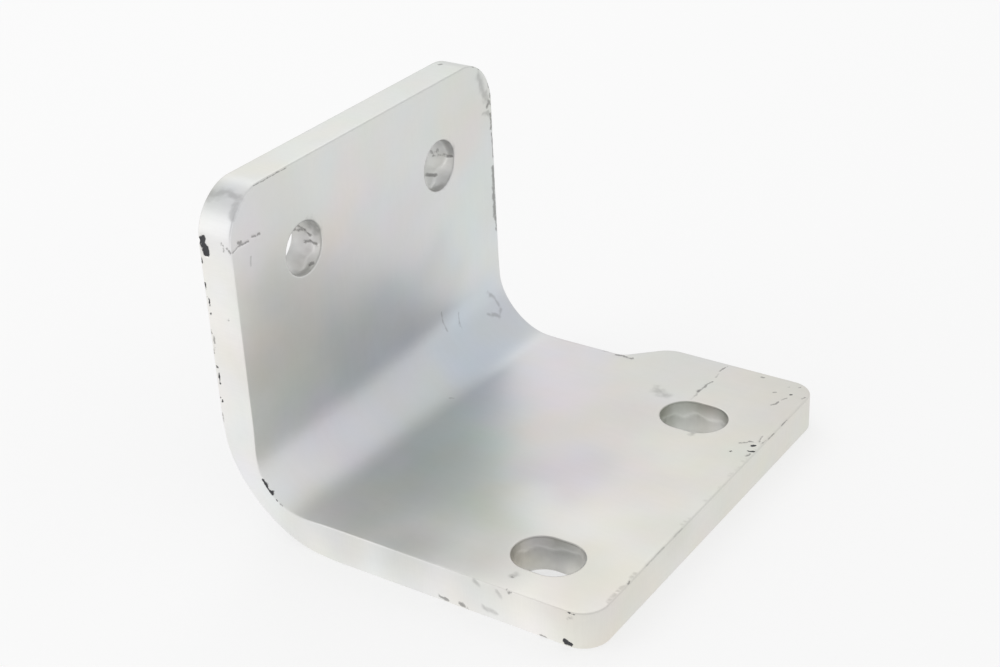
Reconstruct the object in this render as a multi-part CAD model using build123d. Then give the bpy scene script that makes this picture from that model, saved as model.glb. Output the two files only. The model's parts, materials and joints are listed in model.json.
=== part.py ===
from build123d import *

import os
from math import cos, pi, sin

# Motor mounting bracket: one thick steel plate, cut to shape in the flat, bent once to a
# right angle and zinc plated. The upright takes the motor's two bolts, the base is slotted
# so that the bracket can be slid before it is bolted down, and one side of the base stands
# out past the upright as a tab.
#
# Frame: +Z up, the underside of the base on Z = 0, the origin midway between the two slots.
# +X runs from the upright towards the free edge of the base, +Y towards the side with the tab.

# ---------------------------------------------------------------- sizes, in millimetres
plate_thickness = 10.0

upright_width = 110.0
upright_height = 93.0            # underside of the base to the top of the upright
upright_corner_radius = 13.0

base_length = 106.5              # back face of the upright to the free edge
base_corner_radius = 7.0

tab_reach = 9.5                  # how far the base stands out past the upright's side
tab_start = 50.5                 # back face of the upright to the foot of the tab's slope
tab_slope_length = 10.5          # measured along the base
tab_foot_radius = 5.0            # hollow corner at the foot of the slope
tab_shoulder_radius = 9.0        # full corner at the head of the slope

bend_inner_radius = 16.0
bend_stretch = 2.0               # outer radius beyond inner radius and plate: the bend thins
bend_swell = 1.2                 # how far the inner edges are squeezed out sideways
bend_draw = 1.2                  # how far the outer edges are drawn in sideways
bend_run_out = 8.0               # length of flat plate at each end of the bend that it disturbs

motor_hole_diameter = 14.0
motor_hole_spacing = 58.0
motor_hole_height = 69.75        # underside of the base to the holes' axes

slot_width = 14.3
slot_length = 18.5               # over its round ends
slot_spacing = 73.2
slot_from_back = 84.2            # back face of the upright to the slots' centres
slot_from_side = 16.4            # plain side of the base to the first slot's centre

edge_round = 0.8                 # rounded edge along the whole outline of the plate
hole_edge_break = 0.3            # small bevel where the holes and slots open

bend_stations = 9                # cross-sections that shape the sides of the bend

# ---------------------------------------------------------------- places that follow
back_x = -slot_from_back
free_x = back_x + base_length
plain_y = -(slot_from_side + slot_spacing / 2)
far_y = plain_y + upright_width
tab_y = far_y + tab_reach
middle_y = (plain_y + far_y) / 2

inner_x = back_x + plate_thickness
bend_outer_radius = bend_inner_radius + plate_thickness + bend_stretch
bend_length = (bend_inner_radius + plate_thickness / 2) * pi / 2
bend_centre_x = inner_x + bend_inner_radius
bend_centre_z = plate_thickness + bend_inner_radius
flat_from_x = bend_centre_x + bend_run_out
flat_from_z = bend_centre_z + bend_run_out


# ---------------------------------------------------------------- the flat parts
def upright_flange():
    """The flat part of the upright, above the bend, with its two round top corners."""
    height = upright_height - flat_from_z
    outline = Plane.YZ * Pos(middle_y, flat_from_z + height / 2) * Rectangle(upright_width, height)
    top_corners = outline.vertices().group_by(Axis.Z)[-1]
    outline = fillet(top_corners, upright_corner_radius)
    return Pos(back_x, 0, 0) * extrude(outline, plate_thickness, dir=(1, 0, 0))


def base_flange():
    """The flat part of the base, past the bend, with the tab along one side."""
    slope_end_x = back_x + tab_start + tab_slope_length
    start = (flat_from_x, plain_y)
    plain_corner = (free_x, plain_y)
    tab_corner = (free_x, tab_y)
    shoulder = (slope_end_x, tab_y)
    foot = (back_x + tab_start, far_y)
    end = (flat_from_x, far_y)
    outline = make_face(Polyline(start, plain_corner, tab_corner, shoulder, foot, end, close=True))
    for corner, radius in (
        (plain_corner, base_corner_radius),
        (tab_corner, base_corner_radius),
        (shoulder, tab_shoulder_radius),
        (foot, tab_foot_radius),
    ):
        outline = fillet(outline.vertices().sort_by_distance(corner)[0], radius)
    return extrude(outline, plate_thickness, dir=(0, 0, 1))


# ---------------------------------------------------------------- the bend
def bend_plane(along):
    """Plane across the plate at a length along its middle, from the start of the bend.

    Its origin is on the inner surface, its x axis points through the plate to the outer
    surface and its y axis runs across the bracket.
    """
    turn = min(max(along / bend_length, 0), 1) * pi / 2
    through = Vector(-cos(turn), 0, -sin(turn))
    foot = Vector(bend_centre_x, 0, bend_centre_z) + through * bend_inner_radius
    before = min(along, 0)
    after = max(along - bend_length, 0)
    foot = foot + Vector(after, 0, -before)
    return Plane(origin=foot, x_dir=through, z_dir=through.cross(Vector(0, 1, 0)))


def bend_sides():
    """A thick block round the bend whose two sides have the shape that bending gives them.

    The inner edge is squeezed out and the outer edge is drawn in, most at mid-bend, so each
    cross-section is a trapezium. Two more sections carry the block past the disturbed plate.
    """
    disturbed = bend_length + 2 * bend_run_out
    inner_reach = -bend_inner_radius / 2
    outer_reach = plate_thickness * 1.5
    sections = []
    for station in range(-1, bend_stations + 1):
        share = station / (bend_stations - 1)
        strength = sin(pi * min(max(share, 0), 1)) ** 2

        def side_shift(depth):
            return strength * (bend_swell - (bend_swell + bend_draw) * depth / plate_thickness)

        corners = (
            (inner_reach, plain_y - side_shift(inner_reach)),
            (outer_reach, plain_y - side_shift(outer_reach)),
            (outer_reach, far_y + side_shift(outer_reach)),
            (inner_reach, far_y + side_shift(inner_reach)),
        )
        plane = bend_plane(share * disturbed - bend_run_out)
        sections.append(plane * make_face(Polyline(*corners, close=True)))
    return loft(sections)


def bend_strip():
    """The bent part of the plate with the flat stretches that bending disturbs."""
    corners = (
        (back_x, flat_from_z),
        (back_x, 0),
        (flat_from_x, 0),
        (flat_from_x, plate_thickness),
        (inner_x, plate_thickness),
        (inner_x, flat_from_z),
    )
    section = make_face(Plane.XZ * Polyline(*corners, close=True))
    outer_corner = section.vertices().sort_by_distance((back_x, 0, 0))[0]
    section = fillet(outer_corner, bend_outer_radius)
    inner_corner = section.vertices().sort_by_distance((inner_x, 0, plate_thickness))[0]
    section = fillet(inner_corner, bend_inner_radius)
    half_width = upright_width / 2 + bend_swell * 2
    strip = Pos(0, middle_y, 0) * extrude(section, half_width, both=True)
    return strip & bend_sides()


# ---------------------------------------------------------------- holes and slots
def motor_holes():
    """Two round holes through the upright, on one level, centred on its width."""
    places = [Pos(0, middle_y + side * motor_hole_spacing / 2, motor_hole_height) for side in (-1, 1)]
    hole = Rot(0, 90, 0) * Cylinder(motor_hole_diameter / 2, plate_thickness * 3)
    return [Pos(back_x, 0, 0) * place * hole for place in places]


def base_slots():
    """Two slots through the base, side by side, each longer towards the free edge."""
    slot = extrude(SlotOverall(slot_length, slot_width), plate_thickness * 2, both=True)
    return [Pos(0, side * slot_spacing / 2, 0) * slot for side in (-1, 1)]


# ---------------------------------------------------------------- edges
def skins(plate):
    """The inner and outer surfaces of the plate: two flats and one bend on each."""
    near = plate_thickness / 100
    uprights = plate.faces().filter_by(Axis.X)
    uprights = uprights.filter_by_position(Axis.X, back_x - near, inner_x + near)
    bases = plate.faces().filter_by(Axis.Z)
    bases = bases.filter_by_position(Axis.Z, -near, plate_thickness + near)
    rounds = plate.faces().filter_by(GeomType.CYLINDER)
    bends = [face for face in rounds if abs(face.axis_of_rotation.direction.Y) > 0.9]
    return [*uprights, *bases, *bends]


def outline_edges(plate):
    """Edges between the skins and the cut sides, without those where a flat meets its bend."""
    edges = [edge for skin in skins(plate) for edge in skin.outer_wire().edges()]
    return [edge for edge in edges if sum(edge.is_same(other) for other in edges) == 1]


def mouth_edges(plate):
    """Edges of the holes and slots, on both sides of the plate."""
    wires = [wire for skin in skins(plate) for wire in skin.inner_wires()]
    return [edge for wire in wires for edge in wire.edges()]


# ---------------------------------------------------------------- the bracket
bracket = (upright_flange() + bend_strip() + base_flange()).clean()
for cutter in [*motor_holes(), *base_slots()]:
    bracket = bracket - cutter
bracket = bracket.chamfer(hole_edge_break, None, mouth_edges(bracket))
bracket = bracket.fillet(edge_round, outline_edges(bracket))

os.makedirs("parts", exist_ok=True)
export_step(bracket, "parts/bracket.step")
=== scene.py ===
import json
from math import atan2, copysign, cos, pi, radians, sin, tan
from typing import NamedTuple

import bmesh
import bpy
import numpy as np
from mathutils import Matrix, Vector, geometry, kdtree, noise


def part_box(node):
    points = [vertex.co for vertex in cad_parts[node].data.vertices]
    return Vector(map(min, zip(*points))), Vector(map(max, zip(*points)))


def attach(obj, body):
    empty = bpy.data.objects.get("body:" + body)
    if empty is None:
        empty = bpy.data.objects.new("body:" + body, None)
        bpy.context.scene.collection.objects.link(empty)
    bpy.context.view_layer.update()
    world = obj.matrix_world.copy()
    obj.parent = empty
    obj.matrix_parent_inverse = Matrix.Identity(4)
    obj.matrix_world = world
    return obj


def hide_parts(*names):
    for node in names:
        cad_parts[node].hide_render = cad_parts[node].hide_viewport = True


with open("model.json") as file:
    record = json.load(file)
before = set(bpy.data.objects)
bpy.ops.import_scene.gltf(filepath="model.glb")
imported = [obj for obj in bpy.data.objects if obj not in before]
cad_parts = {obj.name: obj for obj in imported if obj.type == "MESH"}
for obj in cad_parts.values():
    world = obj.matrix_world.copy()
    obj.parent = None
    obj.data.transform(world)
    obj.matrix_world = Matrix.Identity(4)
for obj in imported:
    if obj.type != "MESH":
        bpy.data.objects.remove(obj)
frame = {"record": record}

bl_info = {
    "name": "Motor Mounting Bracket",
    "version": (1, 0, 0),
    "blender": (4, 5, 0),
    "location": "3D View > Sidebar > Bracket",
    "description": "Dresses a bent, zinc plated motor bracket and sets up its studio",
    "category": "Object",
}

# The plate is laid out flat, as it was before it was bent: "along" runs from the top edge of
# the upright, down round the bend and out to the free edge of the base, "across" runs from
# the plain side to the side with the tab, and "depth" goes through the plate from the skin
# inside the bend to the skin outside it. Folding then carries each point to its place.

MM = 0.001
NODE = "bracket"
WHITE = (1.0, 1.0, 1.0)
LUMINANCE = (0.2126, 0.7152, 0.0722)  # how bright red, green and blue look
SIDE, OPENING = 1, 2  # kinds of wall, where 0 is a skin

# sizes of the plate that its layout and its marks share
UPRIGHT_WIDTH = 110 * MM
BEND_RADIUS = 16 * MM
EDGE_TRIM = 0.12 * MM  # keeps the sharper swollen edge inside the plain solid's box

# rings of points round an edge, and rows of points down the wall behind it
EDGE_RINGS, SIDE_ROWS = 5, 16
MOUTH_RINGS, BORE_ROWS = 2, 20
RIM_CLEARANCE = 0.6  # of the spacing, between a rim and the nearest point of a skin
MERGE_DISTANCE = 1e-9
MARK_SPACING = 1.5  # along a mark, in millimetres, between the centres of the finer mesh
MARK_MARGIN = 1.0  # of finer mesh round a mark, in millimetres

# walls of the openings: how deep the sheared band goes, and how its edge wanders
SHEARED_SHARE, SHEAR_WANDER, TEAR_RUN = 0.36, 0.3, 0.05
SHEAR_WAVE, TEAR_GRAIN = 5 * MM, 1.1 * MM

# wear, in millimetres, with strengths that run from 0 off a mark to 1 on its line
WAVER_SIZE, WAVER_SHARE, WAVER_LIMIT = 1.1, 0.9, 0.5
PATCH_SIZE, PATCHINESS = 1.5, 0.35
SINK_START, SINK_RUN = 0.35, 0.4
BARE_EDGE, GRIME_EDGE, SMEAR_EDGE = (0.42, 0.54), (0.3, 0.8), (0.1, 1.0)
GRIME_COVER, SMEAR_COVER = 0.62, 0.32

# film and plating: sizes of their noises, in millimetres, and how each is stretched
DRIFT_SIZE = 13
CLOUD_NOISES = ((9, 14), (8, 15), (11, 16))  # size and seed, for red, blue and shade
CLOUD_DEPTHS = (0.03, 0.035, 0.015)
CLOUD_SIZE, MOTTLE_SIZE, FINE_SIZE, RAGGED_SIZE = 13, 3.0, 0.45, 0.55
ROLLED_SIZE, ROLLED_STRETCH = 1.6, (0.1, 1, 1)
SCORED_SIZE, SCORED_STRETCH = 0.5, (1, 1, 0.08)

# stage: each lamp's heading and height, in degrees, and the floor
BACK_LAMP = (225, 45)
SIDE_LAMP = (315, 15)
FLOOR_RADIUS, FLOOR_CORNERS, FLOOR_GAP = 4, 96, 0.05 * MM
SENSOR_WIDTH = 36

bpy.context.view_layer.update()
plate_low, plate_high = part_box(NODE)
mounts = {mount["name"]: mount for mount in frame["record"]["mounts"]}
motor_bolts = mounts["motor_bolts"]
motor_face_x = mounts["motor_face"]["pos_m"][0]
inner_face_x = mounts["inner_face"]["pos_m"][0]
middle_y = motor_bolts["pos_m"][1]
base_top = (inner_face_x - motor_face_x) / MM
plain_side = (middle_y - UPRIGHT_WIDTH / 2) / MM


# ---------------------------------------------------------------- what a user would change
def length(name, description, default):
    """A length property, in metres."""
    return bpy.props.FloatProperty(
        name=name, description=description, default=default, min=0, unit="LENGTH", precision=5
    )


def colour(name, description, default):
    """A colour property."""
    return bpy.props.FloatVectorProperty(
        name=name, description=description, default=default, min=0, max=1, size=3, subtype="COLOR"
    )


def share(name, description, default):
    """A property from 0 to 1."""
    return bpy.props.FloatProperty(
        name=name, description=description, default=default, min=0, max=1, subtype="FACTOR"
    )


def strength(name, description, default):
    """A brightness, where 1 is white."""
    return bpy.props.FloatProperty(name=name, description=description, default=default, min=0)


class PlateSizes(bpy.types.PropertyGroup):
    """Sizes of the bent plate: those of the part's own source, but with a sharper outer edge."""

    thickness: length("Thickness", "Thickness of the plate", inner_face_x - motor_face_x)
    upright_width: length("Upright width", "Width of the upright and of the bend", UPRIGHT_WIDTH)
    upright_corner: length("Upright corners", "Radius of the upright's top corners", 13 * MM)
    base_corner: length("Base corners", "Radius of the two corners at the free edge", 7 * MM)
    tab_reach: length("Tab reach", "How far the base stands out past the upright's side", 9.5 * MM)
    tab_start: length("Tab start", "Back face to the foot of the tab's slope", 50.5 * MM)
    tab_slope: length("Tab slope", "Length of the slope, measured along the base", 10.5 * MM)
    tab_foot: length("Tab foot", "Radius of the hollow corner at the foot of the slope", 5 * MM)
    tab_shoulder: length("Tab shoulder", "Radius at the head of the slope", 9 * MM)
    bend_radius: length("Bend radius", "Radius of the skin inside the bend", BEND_RADIUS)
    bend_stretch: length("Bend stretch", "Outer radius beyond inner radius and plate", 2 * MM)
    bend_swell: length("Bend swell", "How far the inner edges are squeezed out", 1.2 * MM)
    bend_draw: length("Bend draw", "How far the outer edges are drawn in", 1.2 * MM)
    bend_run_out: length("Bend run-out", "Flat plate that each end of the bend disturbs", 8 * MM)
    slot_width: length("Slot width", "Width of the base's slots", 14.3 * MM)
    slot_length: length("Slot length", "Length of a slot over its round ends", 18.5 * MM)
    slot_spacing: length("Slot spacing", "Between the middles of the slots", 73.2 * MM)
    edge_round: length("Edge round", "Rounded edge along the outline", 0.45 * MM)
    mouth_break: length("Mouth break", "Broken edge of the holes and slots", 0.3 * MM)


class PlateDetail(bpy.types.PropertyGroup):
    """How finely the plate is meshed, and how rough it is."""

    edge_step: length("Edge step", "Spacing of points round the outline and the holes", 0.5 * MM)
    skin_step: length("Skin step", "Spacing of points over the skins", 1.3 * MM)
    mark_step: length("Mark step", "Spacing of points round dents and scratches", 0.3 * MM)
    tear_depth: length("Tear depth", "How far the torn part of a hole's wall is set back", 0.25 * MM)
    wall_roughness: length("Wall roughness", "Roughness of the cut walls", 0.05 * MM)


class ZincFinish(bpy.types.PropertyGroup):
    """Colours and gloss of the plating."""

    zinc: colour("Zinc", "Colour of sound plating", (0.66, 0.66, 0.66))
    steel: colour("Bare steel", "Colour where the plating is gone", (0.065, 0.065, 0.07))
    grime: colour("Grime", "Colour of rubbed-in dirt", (0.16, 0.155, 0.15))
    roughness: share("Roughness", "Roughness of sound plating", 0.38)
    drift: length("Film drift", "How far the film's patches wander from round", 5 * MM)


class StudioSettings(bpy.types.PropertyGroup):
    """Camera, lamps and floor."""

    camera_place: bpy.props.FloatVectorProperty(
        name="Camera place",
        description="Where the camera stands",
        default=(0.19586, -0.33568, 0.26155),
        size=3,
        subtype="TRANSLATION",
    )
    camera_turn: bpy.props.FloatVectorProperty(
        name="Camera turn",
        description="Tilt, roll and heading of the camera",
        default=(radians(61.808), radians(2.53), radians(33.267)),
        size=3,
        subtype="EULER",
    )
    camera_lens: bpy.props.FloatProperty(
        name="Lens", description="Focal length in millimetres", default=65.97, min=1, unit="CAMERA"
    )
    floor: colour("Floor", "Colour of the floor", (0.96, 0.96, 0.96))
    backdrop: share("Backdrop", "How much of the floor's white doesn't depend on the light", 0.6)
    surroundings: strength("Surroundings", "Strength of the even light", 0.85)
    lamp_size: length("Lamp size", "Side of the square lamps", 0.45)
    lamp_distance: length("Lamp distance", "From the bracket to each lamp", 0.75)
    back_glow: strength("Back lamp", "Brightness of the lamp high behind the upright", 0.6)
    side_glow: strength("Side lamp", "Brightness of the low lamp by the plain side", 0.6)


def settings():
    """The four property groups of the scene."""
    scene = bpy.context.scene
    return scene.plate_sizes, scene.plate_detail, scene.zinc_finish, scene.bracket_studio


# ---------------------------------------------------------------- the plate, laid out flat
class Layout:
    """Places along the flat plate that follow from its sizes."""

    def __init__(self, sizes):
        self.sizes = sizes
        self.height = plate_high.z - plate_low.z
        self.base_length = plate_high.x - plate_low.x
        self.centre_x = motor_face_x + sizes.thickness + sizes.bend_radius
        self.centre_z = sizes.thickness + sizes.bend_radius
        self.bend_length = (sizes.bend_radius + sizes.thickness / 2) * pi / 2
        self.bend_start = self.height - self.centre_z
        self.bend_end = self.bend_start + self.bend_length
        self.end = self.bend_end + plate_high.x - self.centre_x
        self.plain_side = middle_y - sizes.upright_width / 2
        self.far_side = middle_y + sizes.upright_width / 2
        self.tab_side = self.far_side + sizes.tab_reach

    def along_upright(self, z):
        """Length along the plate at a height on the upright."""
        return self.height - z

    def along_base(self, x):
        """Length along the plate at a place on the base."""
        return self.bend_end + x - self.centre_x

    def along(self, x, z):
        """Length along the plate at a place in the part's frame."""
        if z > self.centre_z:
            return self.along_upright(z)
        if x > self.centre_x:
            return self.along_base(x)
        turn = atan2(self.centre_z - z, self.centre_x - x)
        return self.bend_start + self.bend_length * turn / (pi / 2)

    def outline(self):
        """Corners of the blank, each (along, across, radius)."""
        sizes = self.sizes
        foot = self.along_base(motor_face_x + sizes.tab_start)
        return [
            (0, self.plain_side, sizes.upright_corner),
            (self.end, self.plain_side, sizes.base_corner),
            (self.end, self.tab_side, sizes.base_corner),
            (foot + sizes.tab_slope, self.tab_side, sizes.tab_shoulder),
            (foot, self.far_side, sizes.tab_foot),
            (0, self.far_side, sizes.upright_corner),
        ]

    def opening(self, along, across, long, wide):
        """Corners of a round-ended opening, taken the other way round."""
        half_long, half_wide = long / 2, wide / 2
        return [
            (along - half_long, across - half_wide, half_wide),
            (along - half_long, across + half_wide, half_wide),
            (along + half_long, across + half_wide, half_wide),
            (along + half_long, across - half_wide, half_wide),
        ]

    def openings(self):
        """Corners of the two motor holes and the two slots."""
        sizes = self.sizes
        bore = 2 * motor_bolts["dims"]["hole_r_mm"] * MM
        spacing = motor_bolts["dims"]["spacing_x_mm"] * MM
        level = self.along_upright(motor_bolts["pos_m"][2])
        slots = self.along_base(mounts["frame_slots"]["pos_m"][0])
        holes = [self.opening(level, middle_y + side * spacing / 2, bore, bore) for side in (-1, 1)]
        for side in (-1, 1):
            across = side * sizes.slot_spacing / 2
            holes.append(self.opening(slots, across, sizes.slot_length, sizes.slot_width))
        return holes

    def fold(self, flat):
        """Where points (along, across, depth) of the flat plate lie once it is bent."""
        sizes = self.sizes
        along, across, depth = flat.T
        through = depth / sizes.thickness
        turn = np.clip((along - self.bend_start) / self.bend_length, 0, 1) * pi / 2
        run_out = sizes.bend_run_out
        stations = [0, self.bend_start - run_out, self.bend_start]
        later = [self.bend_end, self.bend_end + run_out, self.end]
        skins = []
        for radius, lag in (
            (sizes.bend_radius, 0),
            (sizes.bend_radius + sizes.thickness + sizes.bend_stretch, sizes.bend_stretch),
        ):
            above = np.interp(along, stations, [self.bend_start - lag, run_out - lag, 0])
            past = np.interp(along, later, [0, run_out - lag, self.end - self.bend_end - lag])
            x = self.centre_x + lag - radius * np.cos(turn) + past
            z = self.centre_z + lag - radius * np.sin(turn) + above
            skins.append((x, z))
        (inner_x, inner_z), (outer_x, outer_z) = skins
        x = inner_x + (outer_x - inner_x) * through
        z = inner_z + (outer_z - inner_z) * through
        disturbed = self.bend_length + 2 * run_out
        way = np.clip((along - self.bend_start + run_out) / disturbed, 0, 1)
        spread = sizes.bend_swell - (sizes.bend_swell + sizes.bend_draw) * through - EDGE_TRIM
        widening = np.sin(pi * way) ** 2 * spread / (sizes.upright_width / 2)
        y = middle_y + (across - middle_y) * (1 + widening)
        return np.column_stack((x, y, z))


def rounded_loop(corners, step):
    """Points and normals, a step apart, round a closed outline of (along, across, radius).

    The normals point to the right of the way round: out of the plate, for an outline taken
    anticlockwise and for an opening taken clockwise.
    """
    points, normals = [], []
    for index, (along, across, radius) in enumerate(corners):
        here = Vector((along, across))
        before = Vector(corners[index - 1][:2])
        after = Vector(corners[(index + 1) % len(corners)][:2])
        arriving = (here - before).normalized()
        leaving = (after - here).normalized()
        turn = atan2(arriving.cross(leaving), arriving.dot(leaving))
        bulge = copysign(radius, turn)
        right = Vector((arriving.y, -arriving.x))
        centre = here - arriving * radius * tan(abs(turn) / 2) - right * bulge
        steps = max(2, round(radius * abs(turn) / step))
        for place in range(steps + 1):
            normal = Matrix.Rotation(turn * place / steps, 2) @ right
            points.append(centre + normal * bulge)
            normals.append(normal)
    filled_points, filled_normals = [], []
    for index, point in enumerate(points):
        following = points[(index + 1) % len(points)]
        gap = (following - point).length
        if gap < step / 100:
            continue
        pieces = max(1, round(gap / step))
        for piece in range(pieces):
            part = piece / pieces
            filled_points.append(point.lerp(following, part))
            filled_normals.append(normals[index].lerp(normals[(index + 1) % len(points)], part))
    return np.array(filled_points), np.array(filled_normals)


def edge_profile(thickness, radius, steps, walls, support):
    """(inset, depth) of the rings round an edge, from the inner skin to the outer one."""
    turns = np.linspace(0, pi / 2, steps + 1)
    rounding = [(radius * (1 - np.sin(turn)), radius * (1 - np.cos(turn))) for turn in turns]
    inner = [(radius + support, 0), *rounding]
    wall = [(0, depth) for depth in np.linspace(radius, thickness - radius, walls + 1)[1:-1]]
    outer = [(inset, thickness - depth) for inset, depth in reversed(inner)]
    return inner + wall + outer


class Blank:
    """The mesh of the flat plate, collected loop by loop."""

    def __init__(self, layout, detail):
        self.layout = layout
        self.detail = detail
        self.flat = []
        self.outward = []
        self.wall = []
        self.rim = []
        self.faces = []
        self.rims = []

    def add_loop(self, corners, radius, steps, walls, kind):
        """Adds the rings round one outline and remembers where they meet the skins."""
        points, normals = rounded_loop(corners, self.detail.edge_step)
        support = self.detail.edge_step / 3
        profile = edge_profile(self.layout.sizes.thickness, radius, steps, walls, support)
        first = len(self.flat)
        count = len(points)
        for inset, depth in profile:
            for point, normal in zip(points, normals):
                self.flat.append((*(point - normal * inset), depth))
                self.outward.append(tuple(normal))
                self.wall.append(kind if inset < radius else 0)
                self.rim.append(float(0 < inset < radius))
        for ring in range(len(profile) - 1):
            here = first + ring * count
            for index in range(count):
                following = (index + 1) % count
                below, beside = here + count + index, here + count + following
                self.faces.append((here + index, here + following, beside, below))
        last = first + (len(profile) - 1) * count
        self.rims.append((range(first, first + count), range(last, last + count)))

    def add_skins(self, marked):
        """Fills both skins between the rims, finer round the marked places."""
        rim_points = np.array([self.flat[index][:2] for inner, _ in self.rims for index in inner])
        rim_normals = np.array([self.outward[index] for inner, _ in self.rims for index in inner])
        tree = kdtree.KDTree(len(rim_points))
        for index, point in enumerate(rim_points):
            tree.insert((*point, 0), index)
        tree.balance()

        def clearance(point):
            """How far a point lies inside the plate from the nearest rim."""
            _, index, distance = tree.find((*point, 0))
            inside = np.dot(np.subtract(point, rim_points[index]), rim_normals[index]) < 0
            return distance if inside else -distance

        spread = [
            point for point in self.skin_points(marked) if clearance(point[:2]) > point[2] * RIM_CLEARANCE
        ]
        edges, start = [], 0
        for inner, _ in self.rims:
            count = len(inner)
            edges += [(start + index, start + (index + 1) % count) for index in range(count)]
            start += count
        flat_points = [Vector(point) for point in rim_points] + [Vector(point[:2]) for point in spread]
        filled = geometry.delaunay_2d_cdt(flat_points, edges, [], 0, MERGE_DISTANCE)
        found, _, triangles, origins, _, _ = filled
        skins = []
        thickness = self.layout.sizes.thickness
        inner_ids = [index for inner, _ in self.rims for index in inner]
        outer_ids = [index for _, outer in self.rims for index in outer]
        for ids, depth in ((inner_ids, 0), (outer_ids, thickness)):
            ids = list(ids)
            for point in spread:
                ids.append(len(self.flat))
                self.flat.append((point[0], point[1], depth))
                self.outward.append((0, 0))
                self.wall.append(0)
                self.rim.append(0.0)
            skins.append(ids)
        for triangle in triangles:
            corners = [origins[index][0] for index in triangle]
            middle = sum((found[index] for index in triangle), Vector((0, 0))) / 3
            if clearance(middle) <= 0:
                continue
            self.faces.append([skins[0][index] for index in corners])
            self.faces.append([skins[1][index] for index in reversed(corners)])

    def skin_points(self, marked):
        """Points over the skins, each (along, across, spacing)."""
        step, fine = self.detail.skin_step, self.detail.mark_step
        layout = self.layout
        near = np.array([mark[:2] for mark in marked]).reshape(-1, 2)
        reach = np.array([mark[2] for mark in marked])
        points = []
        rows = np.arange(step / 2, layout.end, step)
        for row, along in enumerate(rows):
            first = layout.plain_side + step * (0.5 + row % 2 / 2)
            for across in np.arange(first, layout.tab_side, step):
                if len(near) and (np.hypot(*(near - (along, across)).T) < reach).any():
                    continue
                points.append((along, across, step))
        taken = set()
        for along, across, radius in marked:
            for row in range(int((along - radius) / fine), int((along + radius) / fine) + 1):
                for column in range(int((across - radius) / fine), int((across + radius) / fine) + 1):
                    place = (row * fine, (column + row % 2 / 2) * fine)
                    away = np.hypot(place[0] - along, place[1] - across)
                    if (row, column) in taken or away > radius:
                        continue
                    taken.add((row, column))
                    points.append((*place, fine))
        return points


# ---------------------------------------------------------------- wear
class Mark(NamedTuple):
    """A worn streak through some places, all in millimetres in the part's frame.

    It is bare steel, rubbed-in grime or a faint smear, and sunk into the plate by its depth.
    """

    kind: str
    width: float
    depth: float
    places: tuple


class Tint(NamedTuple):
    """A broad patch of the film on the plating, in millimetres in the part's frame.

    Red and blue are how far red and blue stand above green, the film's own tint. Shade is how far the
    whole colour stands above plain zinc, and is mostly painted light and shade: lighter where light falls
    on the plate, darker where its reflections are dark.
    """

    place: tuple
    reach: float
    red: float
    blue: float
    shade: float


def on_upright(y, z):
    """A place on the upright's inner face, in millimetres."""
    return (inner_face_x / MM, y, z)


def on_base(x, y):
    """A place on the base's upper face, in millimetres."""
    return (x, y, base_top)


def on_plain_side(x, z):
    """A place on the cut side away from the tab, in millimetres."""
    return (x, plain_side, z)


def on_top(x, y):
    """A place on the upright's top edge, in millimetres."""
    return (x, y, plate_high.z / MM)


def on_end(y, z):
    """A place on the free edge of the base, in millimetres."""
    return (plate_high.x / MM, y, z)


def on_bend(turn, y):
    """A place on the inner skin of the bend, from 0 degrees at the upright to 90 at the base."""
    radius = BEND_RADIUS / MM
    away = radians(turn)
    return (inner_face_x / MM + radius * (1 - cos(away)), y, base_top + radius * (1 - sin(away)))


def on_bore(side, turn, x):
    """A place on the wall of the motor hole on one side, -1 or 1, in millimetres.

    The turn is in degrees, from the tab's side upwards.
    """
    radius = motor_bolts["dims"]["hole_r_mm"]
    across = middle_y / MM + side * motor_bolts["dims"]["spacing_x_mm"] / 2
    level = motor_bolts["pos_m"][2] / MM
    return (x, across + radius * cos(radians(turn)), level + radius * sin(radians(turn)))


def on_near_bore(turn, x):
    """A place on the wall of the motor hole by the plain side."""
    return on_bore(-1, turn, x)


def on_far_bore(turn, x):
    """A place on the wall of the motor hole by the tab's side."""
    return on_bore(1, turn, x)


def anywhere(x, y, z):
    """A place given in full, in millimetres."""
    return (x, y, z)


def tints(face, *rows):
    """Patches of film and of painted light and shade on one face, each row its place, reach, red, blue
    and shade.
    """
    return [Tint(face(*place), *values) for place, *values in rows]


def marks(face, *rows):
    """Marks on one face, each row its kind, width and depth, and then its places."""
    return [
        Mark(kind, width, depth, tuple(face(*place) for place in places))
        for kind, width, depth, *places in rows
    ]


MARKS = []
# plain side of the upright: knocks along its back edge
MARKS += marks(
    on_plain_side,
    ("bare", 1.15, 0.4, (-83.2, 81.2), (-82.3, 78.4)),
    ("bare", 0.25, 0.15, (-84, 76.2), (-83.7, 74.8)),
    ("bare", 0.2, 0.1, (-83.9, 69.6), (-83.4, 67.6), (-83.5, 66.4)),
    ("bare", 0.3, 0.2, (-83.5, 66.2), (-83, 63.6)),
    ("bare", 0.2, 0.1, (-83.3, 61.6), (-83.3, 61.2)),
    ("grime", 0.25, 0.05, (-84, 57), (-83.1, 54.6), (-83.7, 50.6)),
    ("bare", 0.35, 0.2, (-83.5, 46.9), (-83.4, 46.5)),
    ("bare", 0.25, 0.15, (-83, 45), (-83.4, 43.6), (-83.3, 42)),
    ("bare", 0.25, 0.15, (-83.6, 38.2), (-83.2, 37)),
    ("grime", 0.25, 0.1, (-84, 33.6), (-83.6, 31)),
    ("grime", 0.25, 0.03, (-77.7, 61.2), (-77.8, 60.8)),
    ("grime", 0.35, 0.05, (-77, 81.4), (-76, 80.6), (-76.4, 79.6)),
    ("grime", 0.3, 0.05, (-75.4, 80.8), (-74.5, 79.4)),
)
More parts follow.
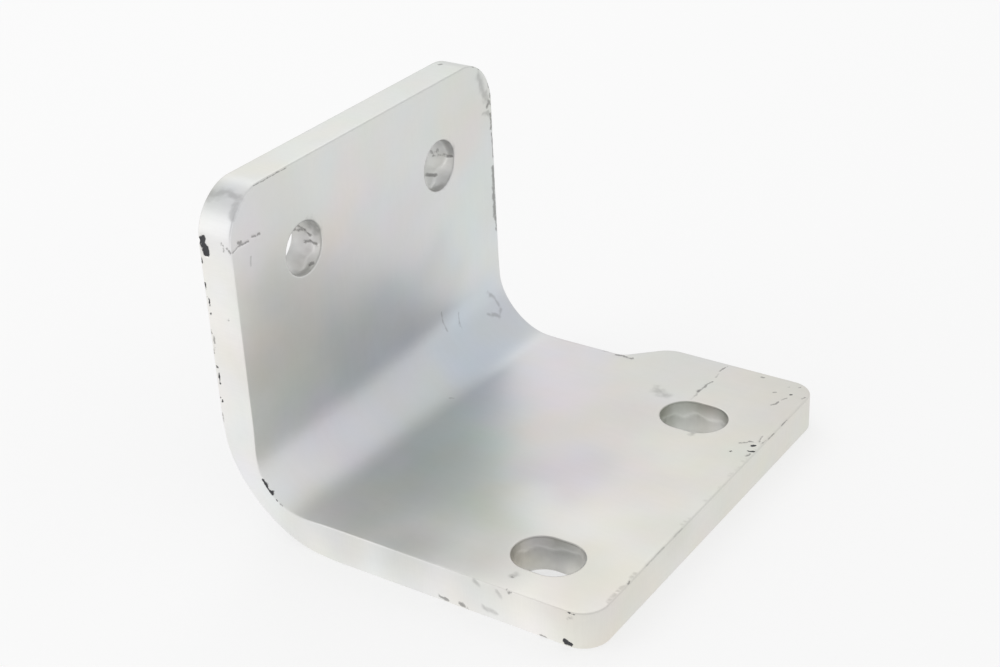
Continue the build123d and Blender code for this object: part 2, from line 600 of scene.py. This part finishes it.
# round top corner by the plain side: grey bands across its edge
MARKS += marks(
    anywhere,
    ("smear", 1.3, 0.03, (-83.4, -47.6, 90.5), (-81.2, -46.8, 91.1), (-79, -46.4, 91.3)),
    ("smear", 0.8, 0.03, (-78.4, -46.8, 91.1), (-76.4, -46.8, 91.1), (-74.9, -47, 90.9)),
    ("smear", 0.8, 0.03, (-75.2, -50.4, 87.8), (-75, -48.2, 90)),
)
# upright's inner face: scratches near the plain side
MARKS += marks(
    on_upright,
    ("grime", 0.22, 0.07, (-52.5, 79.3), (-50.2, 80), (-46.6, 79.9)),
    ("grime", 0.4, 0.04, (-50.2, 80.9), (-49, 80.7)),
    ("grime", 0.3, 0.05, (-45.2, 80.5), (-43.9, 80.2)),
    ("grime", 0.35, 0.05, (-43.1, 80.4), (-42.4, 80.2)),
    ("smear", 0.25, 0.02, (-46.4, 75.7), (-46.7, 73.5)),
    ("grime", 0.16, 0.05, (-42.6, 92.6), (-36.6, 92.6), (-30.4, 92.6)),
)
# round top corner by the tab's side
MARKS += marks(
    anywhere,
    ("grime", 0.35, 0.04, (-81.6, 43.8, 93), (-81.2, 44.6, 93)),
    ("grime", 0.2, 0.05, (-76.8, 44, 92.9), (-75, 46, 92.6), (-74.4, 49, 91.8), (-74.4, 51.6, 90.2)),
)
MARKS += marks(
    on_upright,
    ("smear", 1.2, 0.05, (51.4, 88.2), (52.6, 85), (54.2, 80.6)),
    ("smear", 0.6, 0.05, (52.4, 77), (55.4, 76.2)),
    ("grime", 0.5, 0.1, (55.7, 86.4), (56.2, 84)),
    ("grime", 0.3, 0.1, (56.4, 81.6), (56.4, 80.8)),
    ("grime", 0.6, 0.1, (54.8, 78.9), (55.9, 79.3), (56.4, 78.6)),
    ("grime", 0.5, 0.1, (56.2, 75.8), (56.2, 71.6)),
    ("grime", 0.4, 0.1, (56.6, 70), (56.6, 63)),
    ("grime", 0.7, 0.1, (56, 59.6), (56.3, 54.6)),
    ("grime", 0.9, 0.1, (56, 53.6), (55.8, 50), (56.1, 45.6)),
    ("grime", 0.5, 0.1, (56.3, 44.6), (56.5, 40.6)),
)
# walls of the motor holes: ledges that the punch left, with dark patches and smears that partly paint the
# dark reflections inside the holes
MARKS += marks(
    on_near_bore,
    ("grime", 0.42, 0.15, (0, -83.4), (4, -80.6), (-2, -77.9)),
    ("grime", 0.4, 0.12, (14, -82.4), (6, -79)),
    ("grime", 0.4, 0.12, (-19, -80.2), (-14, -78.2), (-17, -75.8)),
    ("smear", 1.6, 0.05, (60, -75.6), (40, -76.8), (18, -76.4)),
    ("grime", 0.52, 0.1, (-58, -75.6), (-61, -75.9)),
    ("smear", 0.8, 0.05, (-74, -75.6), (-100, -75.8)),
)
MARKS += marks(
    on_far_bore,
    ("grime", 0.42, 0.15, (-2, -82.2), (0, -80.4), (12, -79.4)),
    ("grime", 0.4, 0.12, (-10, -81.6), (-3, -77.9), (0, -74.9)),
    ("grime", 0.52, 0.1, (-54, -82.4), (-50, -79.2)),
    ("smear", 1.2, 0.05, (62, -75.6), (36, -75.6), (12, -75.4)),
    ("smear", 1, 0.05, (-74, -75.4), (-102, -76)),
)
# bend, by the plain side and then by the tab's side
MARKS += marks(
    anywhere,
    # dark spots on the swollen edge of the bend by the plain side, in the bare steel's colour
    ("bare", 0.4, 0.3, (-72.1, -53.9, 18), (-70.6, -53.9, 15.8), (-69.6, -53.9, 14.8)),
    ("bare", 0.25, 0.15, (-68.4, -54, 13.6), (-68, -54.1, 13.3)),
    ("grime", 0.3, 0.1, (-67.2, -54.1, 12.7), (-66.6, -54.1, 12.4)),
    ("grime", 0.3, 0.03, (-62, -53.9, 8), (-61.6, -53.9, 7.6)),
)
MARKS += marks(
    on_bend,
    ("smear", 0.3, 0.02, (76, 12.5), (79, 13.1)),
    ("smear", 0.25, 0.02, (-4, 27.4), (8, 27.6), (19, 28.4)),
    ("smear", 0.25, 0.02, (9, 35.2), (17, 34.4), (25, 34.4)),
    ("smear", 0.5, 0.03, (10, 50), (20, 52.2), (29, 52.8)),
    ("smear", 0.5, 0.03, (30, 46.8), (38, 50.8), (33, 52.8)),
)
# base: the foot of the tab's slope, and scratches and spatter near the slots and corners
MARKS += marks(
    on_base,
    ("grime", 0.45, 0.12, (-35.2, 56.2), (-32.6, 56.6), (-30.2, 56.6)),
    ("grime", 0.25, 0.05, (-39.4, 56.6), (-38, 56.6)),
    ("smear", 0.25, 0.03, (-5, 44.2), (-4.8, 47), (-5.3, 49.6)),
    ("grime", 0.35, 0.08, (-5.3, 49), (-4.9, 51.8), (-5, 53.4)),
    ("grime", 0.25, 0.08, (-5, 53.4), (-4.3, 55.6)),
    ("smear", 0.2, 0.03, (-4.6, 58.2), (-4.9, 60.4)),
    ("grime", 0.25, 0.05, (-5.4, 61.6), (-4.6, 65.2)),
    ("smear", 1.4, 0, (-15.6, 44.6), (-12.4, 43)),
    ("grime", 0.35, 0.04, (6.4, 64.3), (7, 64.4)),
    ("bare", 0.3, 0.08, (16.3, 25.9), (16.5, 26.2)),
    ("grime", 0.3, 0.06, (16.4, 30.6), (17, 31.2), (17.9, 31.8)),
    ("grime", 0.3, 0.06, (18.2, 32.6), (19.6, 33)),
    ("bare", 0.35, 0.1, (19.8, 31), (20.6, 31.4)),
    ("bare", 0.35, 0.1, (20.2, 28.2), (21.6, 28.8)),
    ("grime", 0.35, 0.1, (21.2, 27.2), (20.8, 26)),
    ("grime", 0.25, 0.06, (20.6, 33.6), (20.2, 36.6)),
    ("grime", 0.25, 0.06, (21.6, 33.4), (21.9, 35)),
    ("grime", 0.25, 0.06, (15, 52), (15.9, 53), (16, 54.4)),
    ("grime", 0.22, 0.06, (16.4, 55.6), (17.2, 57.4)),
    ("bare", 0.25, 0.06, (17.2, 59.4), (17.5, 59.7)),
    ("grime", 0.25, 0.06, (12.6, 58.4), (13.4, 58.8)),
    ("grime", 0.25, 0.06, (15, 62.8), (15.2, 63.2)),
    ("grime", 0.25, 0.06, (17.7, 64), (18, 64.3)),
    ("grime", 0.25, 0.06, (20.8, 59), (21.2, 60)),
    # dashes along the rounded edge at the free end, darker in places
    ("grime", 0.16, 0.08, (22.1, 47), (22.1, 42.8)),
    ("grime", 0.16, 0.08, (22.1, 39.4), (22.1, 36)),
    ("smear", 0.16, 0.06, (22.1, -11), (22.1, -15)),
    ("smear", 0.16, 0.06, (22.1, -20), (22.1, -29)),
    ("grime", 0.2, 0.06, (21.8, -36), (22, -37)),
    ("grime", 0.35, 0.04, (-2.7, -47.9), (-2.4, -48.1)),
    ("smear", 0.8, 0, (-3, -47.6), (-2.6, -46.6)),
    ("smear", 0.7, 0.02, (3.4, 31.6), (3.8, 28.2)),
)
# plain side of the base: rubbed spots, and a chip at each edge near the free corner
MARKS += marks(
    on_plain_side,
    ("smear", 0.5, 0.03, (-3.8, 8.6), (-2.8, 7.6)),
    ("grime", 0.35, 0.08, (-1.2, 9.9), (-0.6, 9.2), (0.2, 9.8)),
    ("smear", 0.5, 0.03, (-10.5, 9.5), (-8.6, 8.4)),
    ("grime", 0.4, 0.04, (-20.6, 1.2), (-18.2, 0.9)),
    ("grime", 0.5, 0.05, (-14.8, 1.2), (-12.6, 0.7)),
    ("smear", 0.6, 0.03, (-7.8, 2.4), (-4.4, 2.2)),
    ("grime", 0.35, 0.08, (7.8, 0.4), (9.6, 0.3)),
    ("bare", 0.35, 0.2, (15.7, 9.9), (17.2, 9.9)),
    ("smear", 0.3, 0.05, (16.4, 8.8), (15.4, 8)),
    ("bare", 0.7, 0.25, (14.6, 1.4), (15.9, 1)),
)

# patches of the film's tint, whose shade holds painted light and shade
FILM_AND_PAINTED_LIGHT = []
# upright, from its top edge down: painted light along most of the plain side's edge, and a painted darker
# band of reflection across the lower middle
FILM_AND_PAINTED_LIGHT += tints(
    on_upright,
    ((-46, 87), 9, -0.03, 0.06, 0.12),
    ((-48, 78), 7, 0.06, 0.04, 0.08),
    ((-22, 88), 12, -0.03, -0.02, 0.1),
    ((-6, 80), 8, 0.05, 0, 0.07),
    ((-14, 70), 7, 0.07, -0.04, 0.07),
    ((4, 70), 8, 0, 0.03, 0.02),
    ((16, 86), 14, -0.01, -0.01, 0.05),
    ((42, 77), 8, 0.05, -0.05, 0.02),
    ((-45, 66), 9, -0.03, 0, -0.08),
    ((-48, 50), 10, 0.035, -0.07, 0),
    ((-34, 42), 12, -0.01, -0.055, 0.03),
    ((-47, 34), 9, -0.01, -0.06, 0.12),
    ((-14, 56), 13, 0, 0, 0.02),
    ((-10, 36), 11, -0.065, 0, -0.11),
    ((9, 37), 11, -0.05, 0.045, -0.15),
    ((27, 40), 9, -0.02, 0, -0.09),
    ((14, 58), 12, 0, 0.01, 0),
    ((47, 48), 15, -0.05, -0.01, 0.05),
)
# bend: a bluish band, partly the film's tint and partly a painted reflection, with painted light by the
# plain side and painted shade lower down
FILM_AND_PAINTED_LIGHT += tints(
    on_bend,
    ((30, -47), 9, 0, 0.05, 0.12),
    ((30, -24), 13, 0.01, 0.08, 0.04),
    ((25, 2), 11, -0.03, 0.05, -0.03),
    ((50, 32), 10, -0.1, 0.11, -0.06),
    ((35, 48), 8, -0.06, 0.07, -0.05),
    ((75, -46), 9, -0.01, -0.04, -0.09),
    ((75, 4), 9, -0.06, -0.01, -0.02),
)
# base, from the bend to its free edge: painted shade, darkest along the plain side
FILM_AND_PAINTED_LIGHT += tints(
    on_base,
    ((-48, -49), 10, -0.01, -0.04, -0.26),
    ((-30, -50), 9, -0.01, -0.05, -0.32),
    ((-48, -34), 11, -0.02, -0.05, -0.06),
    ((-44, -16), 13, -0.07, -0.03, -0.1),
    ((-50, 0), 9, -0.09, -0.02, -0.04),
    ((-50, 17), 8, -0.03, 0.06, -0.07),
    ((-42, 30), 10, 0.055, 0.05, -0.03),
    ((-48, 50), 9, 0.035, 0.03, -0.02),
    ((-22, -28), 9, -0.05, -0.09, -0.09),
    ((-13, -22), 6, 0, -0.05, 0.07),
    ((-12, -1), 10, 0.05, 0.06, -0.14),
    ((-22, 22), 14, 0.045, -0.04, -0.07),
    ((-14, -48), 10, 0.01, -0.08, -0.26),
    ((-22, 52), 8, 0, -0.06, 0.01),
    ((6, 2), 12, 0.045, -0.04, -0.03),
    ((8, 18), 8, 0.01, -0.08, 0.06),
    ((12, -44), 12, 0.03, -0.08, -0.18),
    ((19, -16), 8, 0, -0.07, -0.04),
    ((19, 24), 10, 0, -0.08, 0.08),
    ((10, 54), 13, 0.03, -0.05, 0.07),
)
# cut sides: painted light, strongest on the plain side, which the light from that side makes brighter
# than the faces
FILM_AND_PAINTED_LIGHT += tints(
    on_top,
    ((-79, -34), 16, 0.01, -0.07, 0.05),
    ((-79, 4), 16, -0.02, -0.05, 0.07),
    ((-79, 36), 16, -0.03, -0.05, 0.05),
)
FILM_AND_PAINTED_LIGHT += tints(
    on_plain_side,
    ((-79, 72), 12, 0.01, -0.05, 0.37),
    ((-79, 56), 10, 0.035, -0.03, 0.36),
    ((-79, 38), 12, 0.01, -0.01, 0.36),
    ((-70, 12), 13, 0, -0.02, 0.35),
    ((-44, 5), 14, 0, -0.02, 0.44),
    ((-20, 5), 13, 0, 0, 0.46),
    ((6, 5), 12, 0.035, -0.04, 0.46),
)
FILM_AND_PAINTED_LIGHT += tints(
    on_end,
    ((-42, 5), 14, 0.03, -0.09, 0.14),
    ((-12, 5), 18, 0.02, -0.07, 0.13),
    ((22, 5), 18, 0.02, -0.08, 0.08),
    ((54, 5), 16, 0.01, -0.09, 0.06),
)

# dark above and light below, on the walls of the slots: painted darker towards the top, and lighter below
# with a painted reflection of the floor
OPENING_TONES_AND_REFLECTION = tints(
    anywhere,
    # first slot
    ((-9, -36, 6), 4, 0.03, -0.12, -0.20),
    ((-5, -30, 8), 4, 0.02, -0.02, -0.34),
    ((2, -29.5, 9), 3.5, 0, -0.06, -0.42),
    ((-5, -30, 3), 3, 0, -0.05, -0.10),
    ((3, -29.5, 4), 3.5, 0.03, -0.06, 0.12),
    # second slot
    ((-9, 38, 8), 4, -0.02, -0.12, -0.32),
    ((-4, 43.5, 7), 4, -0.03, -0.11, -0.34),
    ((2, 43.7, 8.5), 3, 0.06, -0.08, -0.50),
    ((7, 42, 9), 3, 0, -0.08, -0.28),
    ((4, 43.5, 4.5), 3, 0, -0.04, 0.04),
    ((-4, 43.3, 2.5), 3.5, 0, -0.05, -0.06),
)

# the film away from all patches, and its share beside them
PLAIN_FILM = (0.0, -0.02, 0.02)
PLAIN_SHARE = 0.12


def surface_noise(points, scale, seed):
    """Smooth noise from -1 to 1 at each point, with features about a scale across."""
    shift = Vector((seed * 17.3, seed * -9.1, seed * 5.7))
    return np.array([noise.noise(Vector(point) / scale + shift) for point in points])


def streak_distance(points, places):
    """How far points lie from the line through some places."""
    nearest = np.full(len(points), np.inf)
    for start, finish in zip(places, places[1:]):
        start, finish = np.array(start), np.array(finish)
        run = finish - start
        part = np.clip((points - start) @ run / (run @ run), 0, 1)
        nearest = np.minimum(nearest, np.linalg.norm(points - start - part[:, None] * run, axis=1))
    return nearest


def smooth(value):
    """Eases a value from 0 to 1, flat at both ends."""
    value = np.clip(value, 0, 1)
    return value * value * (3 - 2 * value)


def marked_places(layout):
    """(along, across, reach) of the marks on the skins, for the finer mesh round them."""
    places = []
    for mark in MARKS:
        for start, finish in zip(mark.places, mark.places[1:]):
            start, finish = Vector(start), Vector(finish)
            steps = max(1, round((finish - start).length / MARK_SPACING))
            for step in range(steps + 1):
                x, y, z = start.lerp(finish, step / steps) * MM
                places.append((layout.along(x, z), y, (mark.width + MARK_MARGIN) * MM))
    return places


# ---------------------------------------------------------------- shader helpers
class Value:
    """An output of a shader tree. Arithmetic on it adds the Math nodes that work it out."""

    def __init__(self, shader, socket):
        self.shader = shader
        self.socket = socket

    def __add__(self, other):
        return self.shader.maths("ADD", self, other)

    __radd__ = __add__

    def __sub__(self, other):
        return self.shader.maths("SUBTRACT", self, other)

    def __rsub__(self, other):
        return self.shader.maths("SUBTRACT", other, self)

    def __mul__(self, other):
        return self.shader.maths("MULTIPLY", self, other)

    __rmul__ = __mul__

    def between(self, low, high):
        """Rises smoothly from 0 at the low value to 1 at the high one."""
        return self.shader.add(
            "ShaderNodeMapRange",
            {"interpolation_type": "SMOOTHSTEP"},
            {"Value": self, "From Min": low, "From Max": high},
        )


class Shader:
    """Adds nodes to the tree of a material or of the world."""

    def __init__(self, tree):
        self.tree = tree
        tree.nodes.clear()

    def add(self, kind, options=None, inputs=None, output=0):
        """Adds a node, with its settings first and then its inputs, and returns an output."""
        node = self.tree.nodes.new(kind)
        for name, value in (options or {}).items():
            setattr(node, name, value)
        for name, values in (inputs or {}).items():
            sockets = [socket for socket in node.inputs if socket.enabled and socket.name == name]
            if not sockets:
                raise ValueError(f"{kind} has no input named {name}")
            if len(sockets) == 1:
                values = (values,)
            for socket, value in zip(sockets, values):
                self.feed(socket, value)
        outputs = [socket for socket in node.outputs if socket.enabled]
        if not outputs:
            return None
        named = [socket for socket in outputs if socket.name == output]
        return Value(self, named[0] if named else outputs[output])

    def feed(self, socket, value):
        """Links a value to a socket, or sets a constant on it."""
        if isinstance(value, Value):
            self.tree.links.new(value.socket, socket)
        elif socket.type == "RGBA":
            socket.default_value = (*value, 1) if len(value) == 3 else value
        else:
            socket.default_value = value

    def maths(self, operation, first, second):
        """Adds one Math node."""
        node = self.tree.nodes.new("ShaderNodeMath")
        node.operation = operation
        self.feed(node.inputs[0], first)
        self.feed(node.inputs[1], second)
        return Value(self, node.outputs[0])

    def blend(self, factor, first, second, way="MIX"):
        """Mixes two colours."""
        return self.add(
            "ShaderNodeMix",
            {"data_type": "RGBA", "blend_type": way, "clamp_factor": True},
            {"Factor": factor, "A": first, "B": second},
        )

    def grain(self, place, size, detail, roughness=0.5):
        """Noise with features about a size across, from 0 to 1."""
        return self.add(
            "ShaderNodeTexNoise",
            {"noise_dimensions": "3D"},
            {"Vector": place, "Scale": 1 / size, "Detail": detail, "Roughness": roughness},
            "Fac",
        )

    def stretched(self, place, stretch):
        """The place scaled along each axis, for streaks."""
        return self.add(
            "ShaderNodeVectorMath", {"operation": "MULTIPLY"}, {"Vector": (place, stretch)}
        )

    def painted(self, name, output):
        """What was painted on the mesh under a name."""
        return self.add("ShaderNodeAttribute", {"attribute_name": name}, output=output)

    def grey(self, value):
        """A grey of the value's brightness."""
        parts = {name: value for name in ("Red", "Green", "Blue")}
        return self.add("ShaderNodeCombineColor", None, parts)


def zinc_material(finish):
    """Bright zinc plating on rolled plate, with a faint film of colours, painted light and shade, chips
    and grime.
    """
    material = bpy.data.materials.new("zinc_plating")
    material.use_nodes = True
    shader = Shader(material.node_tree)
    place = shader.painted("laid", "Vector")
    film = shader.painted("film", "Color")
    worn, dirty, dull = (shader.painted(name, "Fac") for name in ("bare", "grime", "smear"))
    rim, cut, torn = (shader.painted(name, "Fac") for name in ("rim", "cut", "torn"))

    cloud = shader.grain(place, CLOUD_SIZE, 3)
    mottle = shader.grain(place, MOTTLE_SIZE, 3, 0.6)
    fine = shader.grain(place, FINE_SIZE, 2, 0.6)
    rolled = shader.grain(shader.stretched(place, ROLLED_STRETCH), ROLLED_SIZE, 3, 0.6)
    scored = shader.grain(shader.stretched(place, SCORED_STRETCH), SCORED_SIZE, 2, 0.6)
    lines = (scored - 0.5) * cut

    # colour: the film with its painted light and shade over the zinc, mottled, and darker where a wall is
    # torn
    shade = 0.96 + 0.05 * mottle + 0.03 * rolled + 0.05 * lines - 0.06 * torn * mottle
    colour_now = shader.blend(1.0, finish.zinc[:], film, "MULTIPLY")
    colour_now = shader.blend(1.0, colour_now, shader.grey(shade), "MULTIPLY")

    # wear: ragged chips down to the steel, and dirt rubbed into scratches
    ragged = shader.grain(place, RAGGED_SIZE, 3, 0.75) - 0.5
    bare = (worn + 0.7 * ragged).between(*BARE_EDGE)
    grime = (dirty + 1.2 * ragged).between(*GRIME_EDGE) * GRIME_COVER
    smear = (dull * (0.4 + 1.2 * mottle) + 0.3 * ragged).between(*SMEAR_EDGE) * SMEAR_COVER
    grime = 1 - (1 - grime) * (1 - smear)
    colour_now = shader.blend(grime, colour_now, finish.grime[:])
    colour_now = shader.blend(bare, colour_now, finish.steel[:])

    # gloss: smoother along the rubbed edges, rougher on cut and worn places
    rubbed = rim * mottle.between(0.3, 0.6)
    roughness = (
        finish.roughness - 0.06 + 0.09 * mottle + 0.05 * fine - 0.12 * rubbed
        + 0.05 * cut + 0.12 * torn + 0.2 * bare + 0.15 * grime
    )
    metallic = 1 - 0.5 * bare - 0.4 * grime
    relief = 0.005 * fine + 0.010 * mottle + 0.03 * cloud + 0.004 * lines + 0.04 * torn * mottle
    normal = shader.add("ShaderNodeBump", None, {"Strength": 1.0, "Distance": MM, "Height": relief})
    surface = shader.add(
        "ShaderNodeBsdfPrincipled",
        None,
        {"Base Color": colour_now, "Roughness": roughness, "Metallic": metallic, "Normal": normal},
    )
    shader.add("ShaderNodeOutputMaterial", None, {"Surface": surface})
    return material


# ---------------------------------------------------------------- building the plate
def tear_walls(blank, flat):
    """Moves the walls of the openings: a smooth sheared band, then a set-back torn one.

    Returns the moved points and how torn each of them is.
    """
    detail = blank.detail
    thickness = blank.layout.sizes.thickness
    outward = np.array(blank.outward)
    inside = np.flatnonzero(np.array(blank.wall) == OPENING)
    through = flat[inside, 2] / thickness
    wander = surface_noise(flat[inside] * (1, 1, 0), SHEAR_WAVE, 3)
    ragged = surface_noise(flat[inside] * (1, 1, 0.4), TEAR_GRAIN, 5)
    past_shear = through - SHEARED_SHARE - SHEAR_WANDER * wander
    torn = smooth(past_shear / TEAR_RUN) * smooth((1 - through) / TEAR_RUN)
    back = torn * detail.tear_depth * (1 + 0.4 * ragged)
    back += detail.wall_roughness * (ragged + 1) * smooth(through / 0.1) * 0.5
    flat[inside, :2] -= outward[inside] * back[:, None]
    paint = np.zeros(len(flat))
    paint[inside] = torn
    return flat, paint


def film_and_light_colours(points, patches):
    """The film's colour at each point, in millimetres: its broad patches with their painted light and
    shade, and faint clouds.
    """
    _, _, finish, _ = settings()
    drift = np.column_stack([surface_noise(points, DRIFT_SIZE, seed) for seed in (11, 12, 13)])
    strayed = points + drift * finish.drift / MM
    clouds = np.column_stack([surface_noise(points, size, seed) for size, seed in CLOUD_NOISES])
    total = np.full(len(points), PLAIN_SHARE)
    tint = np.outer(total, PLAIN_FILM)
    for patch in patches:
        away = np.linalg.norm(strayed - patch.place, axis=1) / patch.reach
        weight = np.exp(-away * away)
        total += weight
        tint += np.outer(weight, patch[2:])
    tint = tint / total[:, None] + clouds * CLOUD_DEPTHS
    red, blue, shade = tint.T
    colours = np.column_stack((1 + red, np.ones(len(points)), 1 + blue))
    brightness = colours @ LUMINANCE
    return colours * ((1 + shade) / brightness)[:, None]


def wear_down(points, normals):
    """Sinks the marks into the surface. Returns the points and the paint for each kind."""
    mm = points / MM
    paint = {kind: np.zeros(len(points)) for kind in ("bare", "grime", "smear")}
    sunk = np.zeros(len(points))
    waver = np.column_stack([surface_noise(mm, WAVER_SIZE, seed) for seed in (8, 9, 10)])
    patchy = surface_noise(mm, PATCH_SIZE, 7)
    for mark in MARKS:
        reach = min(WAVER_SHARE * mark.width, WAVER_LIMIT)
        away = streak_distance(mm + waver * reach, mark.places)
        worn = 1 - away / (2 * mark.width)
        near = worn > 0
        worn += PATCHINESS * patchy
        paint[mark.kind] = np.maximum(paint[mark.kind], np.where(near, worn, 0))
        sunk = np.maximum(sunk, smooth((worn - SINK_START) / SINK_RUN) * mark.depth * near)
    return points - normals * sunk[:, None] * MM, paint


def build_plate():
    """Makes the dressed plate and puts it in the scene."""
    sizes, detail, finish, _ = settings()
    layout = Layout(sizes)
    blank = Blank(layout, detail)
    blank.add_loop(layout.outline(), sizes.edge_round, EDGE_RINGS, SIDE_ROWS, SIDE)
    for corners in layout.openings():
        blank.add_loop(corners, sizes.mouth_break, MOUTH_RINGS, BORE_ROWS, OPENING)
    blank.add_skins(marked_places(layout))
    laid = np.array(blank.flat)
    flat, torn = tear_walls(blank, laid.copy())
    points = layout.fold(flat)

    shape = bmesh.new()
    corners = [shape.verts.new(point) for point in points]
    for face in blank.faces:
        shape.faces.new([corners[index] for index in face]).smooth = True
    bmesh.ops.recalc_face_normals(shape, faces=shape.faces)
    mesh = bpy.data.meshes.new("bent_plate")
    shape.to_mesh(mesh)
    shape.free()

    normals = np.zeros(len(points) * 3)
    mesh.vertex_normals.foreach_get("vector", normals)
    points, paint = wear_down(points, normals.reshape(-1, 3))
    mesh.vertices.foreach_set("co", points.ravel())
    paint["torn"] = torn
    paint["rim"] = np.array(blank.rim)
    paint["cut"] = (np.array(blank.wall) > 0) * 1.0
    for name, values in paint.items():
        mesh.attributes.new(name, "FLOAT", "POINT").data.foreach_set("value", values)
    laid_out = mesh.attributes.new("laid", "FLOAT_VECTOR", "POINT")
    laid_out.data.foreach_set("vector", (laid / MM).ravel())
    # the film's colour with painted light and shade, and on the slot walls painted tones and reflection
    film = np.ones((len(points), 4))
    bored = np.array(blank.wall) == OPENING
    film[~bored, :3] = film_and_light_colours(points[~bored] / MM, FILM_AND_PAINTED_LIGHT)
    film[bored, :3] = film_and_light_colours(points[bored] / MM, OPENING_TONES_AND_REFLECTION)
    mesh.attributes.new("film", "FLOAT_COLOR", "POINT").data.foreach_set("color", film.ravel())
    mesh.update()

    plate = bpy.data.objects.new("bent_plate", mesh)
    bpy.context.scene.collection.objects.link(plate)
    mesh.materials.append(zinc_material(finish))
    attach(plate, "root")
    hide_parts(NODE)


# ---------------------------------------------------------------- the stage
def add_lamp(name, studio, direction, glow):
    """Adds a soft square lamp that looks at the bracket from a direction (heading, height)."""
    heading, height = (radians(angle) for angle in direction)
    outward = Vector((sin(heading) * cos(height), -cos(heading) * cos(height), sin(height)))
    light = bpy.data.lights.new(name, "AREA")
    light.size = studio.lamp_size
    light.energy = glow * pi * light.size**2
    lamp = bpy.data.objects.new(name, light)
    lamp.location = (plate_low + plate_high) / 2 + outward * studio.lamp_distance
    lamp.rotation_euler = outward.to_track_quat("Z", "Y").to_euler()
    bpy.context.scene.collection.objects.link(lamp)


def build_stage():
    """Floor, even surroundings, two soft lamps and the camera."""
    _, _, _, studio = settings()
    scene = bpy.context.scene
    shape = bmesh.new()
    bmesh.ops.create_circle(shape, cap_ends=True, radius=FLOOR_RADIUS, segments=FLOOR_CORNERS)
    mesh = bpy.data.meshes.new("floor")
    shape.to_mesh(mesh)
    shape.free()
    floor = bpy.data.objects.new("floor", mesh)
    floor.location.z = plate_low.z - FLOOR_GAP
    scene.collection.objects.link(floor)
    material = bpy.data.materials.new("pale_floor")
    material.use_nodes = True
    shader = Shader(material.node_tree)
    matt = shader.add("ShaderNodeBsdfDiffuse", None, {"Color": studio.floor[:]})
    bright = shader.add("ShaderNodeEmission", None, {"Color": WHITE, "Strength": 1.0})
    seen = shader.add("ShaderNodeLightPath", output="Is Camera Ray")
    mirrored = shader.add("ShaderNodeLightPath", output="Is Glossy Ray")
    share_now = mirrored + seen * studio.backdrop
    surface = shader.add("ShaderNodeMixShader", None, {"Fac": share_now, "Shader": (matt, bright)})
    shader.add("ShaderNodeOutputMaterial", None, {"Surface": surface})
    mesh.materials.append(material)

    world = bpy.data.worlds.new("studio")
    world.use_nodes = True
    shader = Shader(world.node_tree)
    even = {"Color": WHITE, "Strength": studio.surroundings}
    glow = shader.add("ShaderNodeBackground", None, even)
    shader.add("ShaderNodeOutputWorld", None, {"Surface": glow})
    scene.world = world

    add_lamp("back_lamp", studio, BACK_LAMP, studio.back_glow)
    add_lamp("side_lamp", studio, SIDE_LAMP, studio.side_glow)

    view = bpy.data.cameras.new("camera")
    view.lens = studio.camera_lens
    view.sensor_width = SENSOR_WIDTH
    camera = bpy.data.objects.new("camera", view)
    camera.location = studio.camera_place
    camera.rotation_euler = studio.camera_turn
    scene.collection.objects.link(camera)
    scene.camera = camera
    scene.view_settings.view_transform = "Standard"


# ---------------------------------------------------------------- operators and panel
class BRACKET_OT_plate(bpy.types.Operator):
    """Builds the bent, zinc plated plate in place of its plain solid"""

    bl_idname = "bracket.plate"
    bl_label = "Build Plate"
    bl_options = {"REGISTER", "UNDO"}

    def execute(self, context):
        build_plate()
        return {"FINISHED"}


class BRACKET_OT_stage(bpy.types.Operator):
    """Sets up the floor, the light and the camera"""

    bl_idname = "bracket.stage"
    bl_label = "Set Up Stage"
    bl_options = {"REGISTER", "UNDO"}

    def execute(self, context):
        build_stage()
        return {"FINISHED"}


class BRACKET_PT_panel(bpy.types.Panel):
    """Lists what can be built and the sizes and colours to change"""

    bl_label = "Motor Mounting Bracket"
    bl_idname = "BRACKET_PT_panel"
    bl_space_type = "VIEW_3D"
    bl_region_type = "UI"
    bl_category = "Bracket"

    def draw(self, context):
        layout = self.layout
        layout.operator(BRACKET_OT_plate.bl_idname)
        layout.operator(BRACKET_OT_stage.bl_idname)
        for group in settings():
            box = layout.box()
            for name in group.__annotations__:
                box.prop(group, name)


GROUPS = {
    "plate_sizes": PlateSizes,
    "plate_detail": PlateDetail,
    "zinc_finish": ZincFinish,
    "bracket_studio": StudioSettings,
}
CLASSES = (*GROUPS.values(), BRACKET_OT_plate, BRACKET_OT_stage, BRACKET_PT_panel)


def register():
    """Makes the property groups, operators and panel known to Blender."""
    for cls in CLASSES:
        bpy.utils.register_class(cls)
    for name, group in GROUPS.items():
        setattr(bpy.types.Scene, name, bpy.props.PointerProperty(type=group))


def unregister():
    """Takes them away again."""
    for name in GROUPS:
        delattr(bpy.types.Scene, name)
    for cls in reversed(CLASSES):
        bpy.utils.unregister_class(cls)


def main():
    register()
    bpy.ops.bracket.plate()
    bpy.ops.bracket.stage()
    bpy.context.view_layer.update()


if __name__ == "__main__":
    main()
